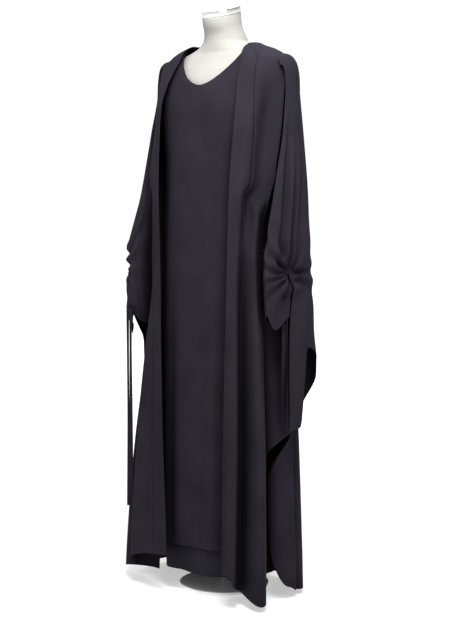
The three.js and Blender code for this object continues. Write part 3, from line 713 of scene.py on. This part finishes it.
def down_rows(count, crowding, hem_rows=6, hem=0.012):
    """Shares down a panel, close together at the shoulder and at the hem."""
    shares = np.linspace(0, 1, count) ** crowding * (1 - hem)
    return np.concatenate([shares, 1 - hem + hem * np.linspace(0, 1, hem_rows + 1)[1:]])


def dress_panel(name, degrees, top):
    down = down_rows(210, 1.35)[:, None]
    z = mix(top[None, :], DRESS_HEM_Z, down)
    angle = np.broadcast_to(degrees[None, :], z.shape)
    bulge = folds_at(FINE_FOLDS["dress"], angle, z)
    bulge = bulge + drift(angle * 2.6, z, 3, 0.7) * smooth(1330, 1150, z)
    turned_edge = smooth(0.012, 0, down) * smooth(1300, 1340, z)
    grid = around(dress_at(z), angle, z, bulge - DRESS_EDGE_TURN * turned_edge - DRESS_INSET)
    return settle(cloth(f"{name}_cloth", grid, crepe), "crepe", name)


front_degrees = np.linspace(-DRESS_SIDE, DRESS_SIDE, 121)
back_degrees = 180 + np.linspace(-DRESS_SIDE, DRESS_SIDE, 101)
dress_front = dress_panel("dress_front", front_degrees, scoop_top(front_degrees))
dress_back = dress_panel("dress_back", back_degrees, armhole_top(180 - back_degrees))


def build_underskirt():
    down = down_rows(60, 1.0)[:, None]
    angle = np.arange(0, 360, 2.0)[None, :]
    z = mix(UNDERSKIRT["top"], UNDERSKIRT["hem"], down) + 0 * angle
    low = smooth(UNDERSKIRT["wave_top"], UNDERSKIRT["hem"], z)
    wave = sum(depth * np.sin(np.radians(angle * count + phase)) * low
               for depth, count, phase in UNDERSKIRT_WAVES)
    grid = around(dress_at(z), angle + 0 * z, z, wave - UNDERSKIRT["inside_dress"])
    obj = cloth("underskirt_cloth", grid, inner_crepe, closed=True)
    return settle(obj, "lining_crepe", "underskirt")


underskirt = build_underskirt()

# Abaya fronts
FRONT_HEM = {
    "left": follow(table("angle z", (30, 90), (40, 84), (46, 56), (54, 32), (63, 14), (72, 20), (80, 24)),
                   "z", "angle"),
    "right": follow(table("angle z", (5, 104), (20, 96), (35, 78), (50, 46), (66, 26), (80, 22)),
                    "z", "angle"),
}
FRONT_DRIFT = {"left": 1, "right": 5}
BAND = {"width": 42, "starts": 1438, "full": 1392, "hem": 60, "gap": 0.0015}
# The roll of cloth beside the left side line, and the dip above it that runs down from the shoulder.
# The roll is pushed out, to the left and the front, and the dip is pushed in.
SIDE_ROLL = {"at": 63, "width": 6, "depth": 20, "top": 1120, "full": 880}
SHOULDER_DIP = {"at": 61, "width": 7, "depth": 15, "top": 1385, "full": 1230}
ROLL_X, ROLL_Y = 0.64, -0.77
# The angle at which a front ends: low on the side line, higher up on it, and at the shoulder
END_ANGLE = {"low": 80, "high": 73, "shoulder": 89.8}


def side_angle(z):
    return mix(END_ANGLE["low"], END_ANGLE["high"], smooth(600, 900, z))


def front_end_angle(z):
    return mix(END_ANGLE["shoulder"], side_angle(z), smooth(1392, 1360, z))


def front_edge_angle(side, size, z):
    return angle_at_x(size[side], edge_at(z)[side], size["square"])


def roll_and_dip(degrees, z, turn_in):
    swell = SIDE_ROLL["depth"] * bell(degrees - SIDE_ROLL["at"], SIDE_ROLL["width"]) * (1 - turn_in)
    swell = swell * smooth(SIDE_ROLL["top"], SIDE_ROLL["full"], z) * (1 - smooth(120, 20, z))
    dip = SHOULDER_DIP["depth"] * bell(degrees - SHOULDER_DIP["at"], SHOULDER_DIP["width"])
    dip = dip * smooth(SHOULDER_DIP["top"], SHOULDER_DIP["full"], z) * (1 - smooth(1000, 860, z))
    return swell - dip


def front_grid(side, across, down):
    """Points of a front. across runs from its open edge to the side line, and down to its hem."""
    bottom = front_edge_angle(side, abaya_at(0.0), 0.0)
    z = mix(ABAYA_TOP_Z, FRONT_HEM[side](mix(bottom, END_ANGLE["low"], across)), down)
    size = abaya_at(z)
    degrees = mix(front_edge_angle(side, size, z), front_end_angle(z), across)
    calm = smooth(0, 0.05, across) * smooth(0, 0.02, down)
    bulge = folds_at(FOLDS[side], degrees, z) + folds_at(FINE_FOLDS[side], degrees, z) * calm
    bulge = bulge + drift(degrees * 3.2, z, FRONT_DRIFT[side], 0.8) * smooth(1360, 1150, z)
    point = around(size, SIGN[side] * degrees, z, bulge)
    # The cloth bends in to the side line from this angle on.
    line = side_at(z)
    turn_from = mix(45, 66, smooth(1080, 980, z))
    turn_in = smooth(turn_from, side_angle(z), degrees) * smooth(1398, 1382, z)
    point[..., 0] = mix(point[..., 0], SIGN[side] * line["x"], turn_in)
    point[..., 1] = mix(point[..., 1], line["y"], turn_in)
    if side == "left":
        push = roll_and_dip(degrees, z, turn_in)
        point[..., 0] += ROLL_X * push
        point[..., 1] += ROLL_Y * push
    return point


def band_share(side, z):
    """The share of a front that its band takes, so that the band has its width along the cloth."""
    size = abaya_at(z)
    edge = front_edge_angle(side, size, z)
    turned = edge + np.arange(0, 40, 0.5)[None, :]
    points = around(size, turned, z)
    length = np.cumsum(np.linalg.norm(np.diff(points, axis=1), axis=2), 1)
    width = BAND["width"] * smooth(BAND["starts"], BAND["full"], z)
    seam = [np.interp(width[i, 0], [0, *length[i]], turned[i]) for i in range(len(z))]
    share = (np.array(seam)[:, None] - edge) / (front_end_angle(z) - edge)
    return np.maximum(share, 0.1)


def with_rolled_edge(grid, inward, column, depth=1.4, reach=3.0):
    """Turns the cloth in softly along one long edge, as a pressed seam does."""
    u, _ = lengths_of(grid)
    away = np.abs(u - u[:, column][:, None])
    return grid + normals_of(grid, False) * inward * (depth * bell(away, reach))[..., None]


def build_front(side):
    inward = SIGN[side]
    down = down_rows(230, 1.25)[:, None]
    seam = band_share(side, mix(ABAYA_TOP_Z, BAND["hem"], down))
    columns = np.concatenate([np.linspace(0, 0.86, 22), np.linspace(0.88, 1, 6)])[None, :]
    band = front_grid(side, columns * (seam - BAND["gap"]), down)
    band_cloth = cloth(f"band_{side}_cloth", with_rolled_edge(band, inward, -1), crepe, inward,
                       thickness=BAND_CLOTH)
    settle(band_cloth, "crepe", f"abaya_band_{side}")
    columns = np.concatenate([np.linspace(0, 0.02, 6), np.linspace(0.03, 1, 92)])[None, :]
    panel = front_grid(side, mix(seam + BAND["gap"], 1, columns), down)
    front_cloth = cloth(f"front_{side}_cloth", with_rolled_edge(panel, inward, 0), crepe, inward)
    settle(front_cloth, "crepe", f"abaya_front_{side}")
    return band_cloth, front_cloth


fronts = {side: build_front(side) for side in SIDES}

# Abaya back and side drapes
BACK_SIDE = follow(table(
    "z angle",
    (1440, 90.2), (1392, 90.2), (1345, 125), (660, 125), (560, 111), (460, 97), (400, 88), (340, 80),
    (300, 76), (0, 72),
), "angle")
BACK_HEM = follow(table(
    "angle z", (70, 262), (76, 165), (82, 85), (88, 34), (96, 16), (112, 13), (180, 16),
), "z", "angle")
SIDE_HEM = follow(table(
    "angle z", (70, 345), (76, 368), (82, 400), (90, 432), (104, 460), (120, 480),
), "z", "angle")
SIDE_FROM, SIDE_TO, SIDE_TOP_Z = 72, 114, 905
SIDE_FLARE, SIDE_RIPPLE = 9, 2.2
# Below this height, at this share of the way down, the back's rows spread out to its curved hem.
BACK_LEVEL = {"share": 0.78, "z": 300}
BACK_BEHIND = (3, 16)
SIDE_BEHIND = (0.4, 1)


def side_grid(degrees, z, bulge, behind):
    """Points on the abaya's section that bend in to the side line, or this far outside and behind it."""
    point = around(abaya_at(z), degrees, z, bulge)
    line = side_at(z)
    turn_in = smooth(88, SIDE_FROM, np.abs(degrees)) ** 0.8
    point[..., 0] = mix(point[..., 0], np.sign(degrees) * (line["x"] + behind[0]), turn_in)
    point[..., 1] = mix(point[..., 1], line["y"] + behind[1], turn_in)
    return point


def back_grid(degrees, z, proud=0.0, fine=1.0):
    bulge = folds_at(FOLDS["back"], degrees, z) + proud
    bulge = bulge + fine * folds_at(FINE_FOLDS["back"], degrees, z)
    bulge = bulge + fine * drift(degrees * 3, z, 2, 0.8) * smooth(1380, 1150, z)
    return side_grid(degrees, z, bulge, BACK_BEHIND)


def build_back():
    down = down_rows(230, 1.2)[:, None]
    turned = np.linspace(-1, 1, 171)[None, :]
    hem = BACK_HEM(mix(180, SIDE_FROM, np.abs(turned)))
    share, level = BACK_LEVEL["share"], BACK_LEVEL["z"]
    z = np.where(down < share, mix(ABAYA_TOP_Z, level, down / share),
                 mix(level, hem, (down - share) / (1 - share)))
    away = mix(180, BACK_SIDE(z), np.abs(turned))
    degrees = np.where(turned < 0, -away, away)
    grid = back_grid(degrees, z, fine=smooth(1.0, 0.93, np.abs(turned)))
    return settle(cloth("back_cloth", grid, crepe, -1), "crepe", "abaya_back")


def build_side(side):
    down = down_rows(90, 1.0)[:, None]
    degrees = np.linspace(SIDE_FROM, SIDE_TO, 60)[None, :]
    z = mix(SIDE_TOP_Z, SIDE_HEM(degrees), down)
    flare = SIDE_FLARE * smooth(660, 560, z)
    ripple = SIDE_RIPPLE * np.sin(degrees * 0.42) * smooth(760, 480, z) * smooth(74, 84, degrees)
    grid = side_grid(SIGN[side] * degrees + 0 * z, z, flare + ripple, SIDE_BEHIND)
    return settle(cloth(f"side_{side}_cloth", grid, crepe, SIGN[side]), "crepe", f"abaya_side_{side}")


back = build_back()
side_drapes = {side: build_side(side) for side in SIDES}

# Sleeves: place runs round a sleeve from the body (0) by the front (2), the cuff's slit (3) and the outer
# edge (4) to the seam with the back (5)
LAST_PLACE = 5
KNOT = {"z": 846, "place": 3, "length": 78, "pull": 9, "reach": 26, "pleats": 10, "pleat_depth": 5,
        "fan": 70}
SLIT_FROM, SLIT_TO = 2.975, 3.025
# The far cuff stands out over the upper ends of its ties and hangs lower. The wing beside it is shorter.
FAR_CUFF = {"push": 15, "push_at": 2.75, "push_width": 0.45, "drop": 24, "more": 24, "drop_at": 2.8,
            "drop_width": 0.5}
FAR_WING_LIFT = 120
# The sleeve's top, which bends in over the shoulder from the height z
CAP = {"z": 1300, "top": 1399, "x": 185, "front_x": 207, "drop": 0.012, "front_drop": 0.02, "lower": 11,
       "round": 0.7}
# The seam with the back: its angle down the arm and on the shoulder, and how far it stands proud
SEAM = {"arm": 126.2, "cap": 119, "proud": 2.4}
# How far forward the outer edge of each sleeve is turned, lower down the arm
ARM_TURN = {"left": 0, "right": 55}
CUFF_HEM = follow(table("z place", (728, 0), (722, 1), (745, 2), (707, 2.45), (736, 2.95)), "z", "place")
WING_HEM = follow(table(
    "z place",
    (440, 3.05), (452, 3.36), (655, 3.5), (622, 4), (582, 4.15), (534, 4.5), (486, 4.8), (470, 5),
), "z", "place")
# Long soft folds down a sleeve, by place round it: ridges and troughs that meet at the knot.
SLEEVE_FOLDS = table(
    FOLD_NAMES,
    (2.2, 2.42, 6, 0.13, 1330, 1060, 880, 850),
    (2.5, 2.62, -8, 0.1, 1300, 1040, 880, 850),
    (2.72, 2.8, 7, 0.09, 1240, 1000, 885, 855),
    (2.95, 2.95, -7, 0.09, 1200, 980, 890, 862),
    (3.15, 3.05, 6, 0.09, 1230, 1000, 890, 860),
    (3.4, 3.2, -6, 0.12, 1290, 1010, 890, 850),
    (3.75, 3.5, 4.5, 0.18, 1300, 1020, 700, 560),
    (4.1, 4.05, -5, 0.16, 1250, 900, 500, 430),
    (4.45, 4.5, 4.2, 0.14, 1150, 820, 470, 420),
    (3.3, 3.32, 3.2, 0.1, 760, 640, 440, 400),
)
# Creases that fan out from the knot: direction in degrees from straight up, towards the wing when more
# than 0, then depth, width in degrees, and length.
KNOT_RAYS = (
    (-136, -5.5, 8, 70), (-122, 6.5, 8, 84), (-107, -7, 7, 96), (-93, 6.5, 7, 104), (-78, -7, 7, 112),
    (-64, 6.5, 7, 112), (-50, -7, 6, 120), (-38, 6, 6, 126), (-26, -5.5, 5, 130), (-15, 5, 5, 130),
    (-4, -5, 5, 120), (9, 4.5, 7, 84), (28, -4.5, 9, 62), (52, 5.5, 10, 54), (80, -5.5, 11, 50),
    (108, 6, 11, 54), (135, -5, 10, 56), (158, 4.5, 9, 60), (-150, 5.5, 8, 74), (-166, -5.5, 8, 78),
    (178, 5, 8, 70),
)
# Small loops of gathered cloth round the knot: place, height, depth and reach.
KNOT_LOBES = (
    (3.24, 866, 9, 12), (3.2, 838, 8, 11), (3.3, 818, 5, 10), (3.17, 806, 7, 11), (3.34, 848, -4, 9),
    (3.2, 852, -6, 6), (3.19, 822, -6, 6), (2.86, 812, 6, 12), (2.78, 836, 5, 11), (2.84, 790, -5, 10),
)


def from_knot(place, z):
    """Distance from the knot, and the direction in radians from straight up."""
    across = (place - KNOT["place"]) * KNOT["length"]
    up = z - KNOT["z"]
    return np.hypot(across, up), np.arctan2(across, up)


def gathers_at(place, z):
    away, angle = from_knot(place, z)
    fan = np.cos(KNOT["pleats"] * angle) * np.exp(-away / KNOT["fan"])
    pinch = KNOT["pull"] * bell(away, KNOT["reach"])
    return KNOT["pleat_depth"] * fan * smooth(0, KNOT["reach"], away) - pinch


def sleeve_creases(place, z):
    total = np.zeros(place.shape)
    for at, height, depth, reach in KNOT_LOBES:
        total += depth * bell(np.hypot((place - at) * KNOT["length"], z - height), reach)
    rows = SLEEVE_FOLDS
    for i in range(len(rows["at"])):
        centre = mix(rows["at"][i], rows["to"][i], smooth(rows["top"][i], rows["fade"][i], z))
        grown = smooth(rows["top"][i], rows["full"][i], z)
        grown = grown * (1 - smooth(rows["fade"][i], rows["gone"][i], z))
        total += rows["depth"][i] * bell(place - centre, rows["width"][i]) * grown
    away, angle = from_knot(place, z)
    for at, depth, width, reach in KNOT_RAYS:
        off = (np.degrees(angle) - at + 540) % 360 - 180
        total += depth * bell(off, width) * smooth(8, 26, away) * bell(away, reach)
    waves = drift(place * 90, z, 4, 0.6) * smooth(1290, 1150, z)
    total += waves * smooth(0, 0.6, place) * smooth(LAST_PLACE, 4.4, place)
    return total * (smooth(0, 0.35, place) * smooth(LAST_PLACE, 4.75, place))


def catmull(stations, share):
    """Points on a centripetal curve through the stations, as the solids have. share is from 0 to 1."""
    place = share * (len(stations) - 1)
    i = np.clip(np.floor(place).astype(int), 0, len(stations) - 2)
    t = (place - i)[..., None]
    known = np.stack(stations, 0)
    before = 2 * known[0] - known[1]
    after = 2 * known[-1] - known[-2]
    known = np.concatenate([before[None], known, after[None]], 0)
    rows = np.arange(known.shape[1])[:, None]
    p0, p1, p2, p3 = (known[i + k, rows] for k in range(4))

    def gap(a, b):
        return np.maximum(np.linalg.norm(a - b, axis=-1, keepdims=True) ** 0.5, 1e-4)

    gap_0, gap_1, gap_2 = gap(p0, p1), gap(p1, p2), gap(p2, p3)
    leaving = gap_1 * ((p1 - p0) / gap_0 - (p2 - p0) / (gap_0 + gap_1) + (p2 - p1) / gap_1)
    arriving = gap_1 * ((p2 - p1) / gap_1 - (p3 - p1) / (gap_1 + gap_2) + (p3 - p2) / gap_2)
    return ((2 * t**3 - 3 * t**2 + 1) * p1 + (t**3 - 2 * t**2 + t) * leaving
            + (3 * t**2 - 2 * t**3) * p2 + (t**3 - t**2) * arriving)


def sleeve_stations(side, z):
    """Plan points round a sleeve at each height. The far sleeve lies closer to the body's middle."""
    row = sleeve_at(z)
    turned = ARM_TURN[side] * smooth(1150, 880, z) * (1 - 0.75 * smooth(745, 640, z))
    nearer, shift = 1, 4 * smooth(1050, 900, z)
    if side == "right":
        nearer = mix(0.76, 0.4, smooth(1200, 1330, z)) + 0.14 * smooth(1050, 900, z)
        shift = 0
    seam_angle = mix(SEAM["arm"], SEAM["cap"], smooth(CAP["z"] + 20, CAP["top"], z))
    proud = SEAM["proud"] + 3 * smooth(720, 620, z) + 2 * smooth(1260, 1330, z)
    seam = back_grid(SIGN[side] * seam_angle, z, proud, 0.0)
    return [np.stack(pair, 1) for pair in (
        (row["bodyX"], row["bodyY"]),
        (row["innerX"] + shift, row["innerY"] * nearer),
        (row["frontX"] + shift, row["frontY"] * nearer),
        (row["outerX"], row["outerY"] - turned),
        (row["edgeX"], row["edgeY"] - turned * 0.4),
        (np.abs(seam[:, 0]), seam[:, 1]),
    )]


def sleeve_grid(side, place, z):
    shape = z.shape
    place, z = place.ravel(), z.ravel()
    stations = sleeve_stations(side, z)
    share = (place / LAST_PLACE)[:, None]
    here = catmull(stations, share)[:, 0]
    ahead = catmull(stations, np.minimum(share + 0.002, 1))[:, 0]
    behind = catmull(stations, np.maximum(share - 0.002, 0))[:, 0]
    along = ahead - behind
    along /= np.linalg.norm(along, axis=1, keepdims=True)
    push = gathers_at(place, z) + sleeve_creases(place, z)
    if side == "right":
        around_ties = bell(place - FAR_CUFF["push_at"], FAR_CUFF["push_width"]) * (place < KNOT["place"])
        push = push + FAR_CUFF["push"] * smooth(850, 745, z) * around_ties
    x = here[:, 0] + along[:, 1] * push
    y = here[:, 1] - along[:, 0] * push
    # Above the cap's foot the rows bend in over the shoulder, to a top that falls to the front and back.
    top = CAP["top"] - np.where(y < MIDDLE_Y, CAP["front_drop"], CAP["drop"]) * (y - MIDDLE_Y) ** 2
    top = top - CAP["lower"] * smooth(2.6, 1.8, place)
    cap_x = mix(CAP["front_x"], CAP["x"], smooth(1.9, 2.7, place))
    rise = np.clip((z - CAP["z"]) / (CAP["top"] - CAP["z"]), 0, 1) * math.pi / 2
    over = z > CAP["z"]
    bend = np.clip(np.cos(rise), 0, 1) ** CAP["round"]
    x = np.where(over, mix(cap_x, x, bend), x)
    z = np.where(over, mix(CAP["z"], top, np.sin(rise) ** CAP["round"]), z)
    return np.stack([x * SIGN[side], y, z], 1).reshape(*shape, 3)


def build_sleeve(side):
    places = np.unique(np.concatenate([
        np.linspace(0, 2, 61), np.linspace(2, SLIT_FROM, 30), np.linspace(SLIT_TO, LAST_PLACE, 62),
    ]))
    cuff, wing = CUFF_HEM(places), WING_HEM(places)
    if side == "right":
        more = FAR_CUFF["more"] * bell(places - FAR_CUFF["drop_at"], FAR_CUFF["drop_width"])
        cuff = cuff - (FAR_CUFF["drop"] + more)
        wing = wing + FAR_WING_LIFT * smooth(3.6, 3.4, places)
    hem = np.where(places < KNOT["place"], cuff, wing)
    cap_rows = np.linspace(CAP["top"], CAP["z"], 34)
    arm_rows = np.linspace(CAP["z"], KNOT["z"], 102)[1:]
    level_rows = np.concatenate([cap_rows, arm_rows])[:, None]
    down = down_rows(56, 1.0, 5, 0.03)[1:, None]
    z = np.concatenate([level_rows + 0 * places, mix(KNOT["z"], hem[None, :], down)])
    grid = sleeve_grid(side, places + 0 * z, z)
    is_open = np.zeros((z.shape[0] - 1, z.shape[1] - 1), bool)
    is_open[len(level_rows) - 1:, np.searchsorted(places, KNOT["place"]) - 1] = True
    obj = cloth(f"sleeve_{side}_cloth", grid, crepe, SIGN[side], is_open=is_open)
    return settle(obj, "crepe", f"sleeve_{side}")


sleeves = {side: build_sleeve(side) for side in SIDES}

# Each side's band and front cloth, taken out of fronts
for side in SIDES:
    band_cloth, front_cloth = fronts[side]

# Studio
FLOOR_HALF = 12
FLOOR_DROP = 0.0005


def build_floor():
    """A plain pale floor that glows as painted light, with the glow weaker near the part as painted shade
    and brighter with distance.
    """
    mesh = bpy.data.meshes.new("floor")
    corners = [(-FLOOR_HALF, -FLOOR_HALF, 0), (FLOOR_HALF, -FLOOR_HALF, 0),
               (FLOOR_HALF, FLOOR_HALF, 0), (-FLOOR_HALF, FLOOR_HALF, 0)]
    mesh.from_pydata(corners, [], [(0, 1, 2, 3)])
    floor = bpy.data.objects.new("floor", mesh)
    bpy.context.scene.collection.objects.link(floor)
    material, tree, bsdf = shader("floor_white")
    bsdf.inputs["Base Color"].default_value = (0.62, 0.62, 0.62, 1)
    bsdf.inputs["Roughness"].default_value = 0.9
    bsdf.inputs["Emission Color"].default_value = (1, 1, 1, 1)
    where = node(tree, "ShaderNodeTexCoord")
    far = node(tree, "ShaderNodeVectorMath", operation="LENGTH")
    # Painted light and shade: the floor's glow rises with distance from the part.
    glow = node(tree, "ShaderNodeMapRange", From_Min=0.6, From_Max=2.6, To_Min=0.46, To_Max=0.98)
    tree.links.new(where.outputs["Object"], far.inputs[0])
    tree.links.new(far.outputs["Value"], glow.inputs["Value"])
    tree.links.new(glow.outputs["Result"], bsdf.inputs["Emission Strength"])
    mesh.materials.append(material)
    floor.location.z = -FLOOR_DROP


def build_room():
    """A room that is white round the horizon and dimmer overhead, so that the lamps shape the cloth."""
    world = bpy.data.worlds.new("world")
    bpy.context.scene.world = world
    world.use_nodes = True
    tree = world.node_tree
    background = tree.nodes["Background"]
    where = node(tree, "ShaderNodeTexCoord")
    parts = node(tree, "ShaderNodeSeparateXYZ")
    glow = node(tree, "ShaderNodeMapRange", From_Min=0.16, From_Max=0.42, To_Min=1.04, To_Max=0.42)
    tree.links.new(where.outputs["Generated"], parts.inputs["Vector"])
    tree.links.new(parts.outputs["Z"], glow.inputs["Value"])
    tree.links.new(glow.outputs["Result"], background.inputs["Strength"])
    background.inputs["Color"].default_value = (1, 1, 1, 1)


def area_light(name, location, target, size, energy):
    data = bpy.data.lights.new(name, "AREA")
    data.shape = "RECTANGLE"
    data.size = size
    data.size_y = size
    data.energy = energy
    lamp = bpy.data.objects.new(name, data)
    bpy.context.scene.collection.objects.link(lamp)
    lamp.location = location
    ahead = Vector(np.subtract(target, location).tolist())
    lamp.rotation_mode = "QUATERNION"
    lamp.rotation_quaternion = ahead.to_track_quat("-Z", "Y")


build_floor()
build_room()
area_light("key", (0.75, -0.85, 2.55), (0.08, 0, 1.35), 0.8, 78)
area_light("fill", (2.2, -1.6, 2.4), (0, 0, 1.2), 1.0, 17)
area_light("top", (-0.3, 0.5, 2.7), (0, 0, 1.3), 0.8, 17)
bpy.context.scene.view_settings.view_transform = "Standard"
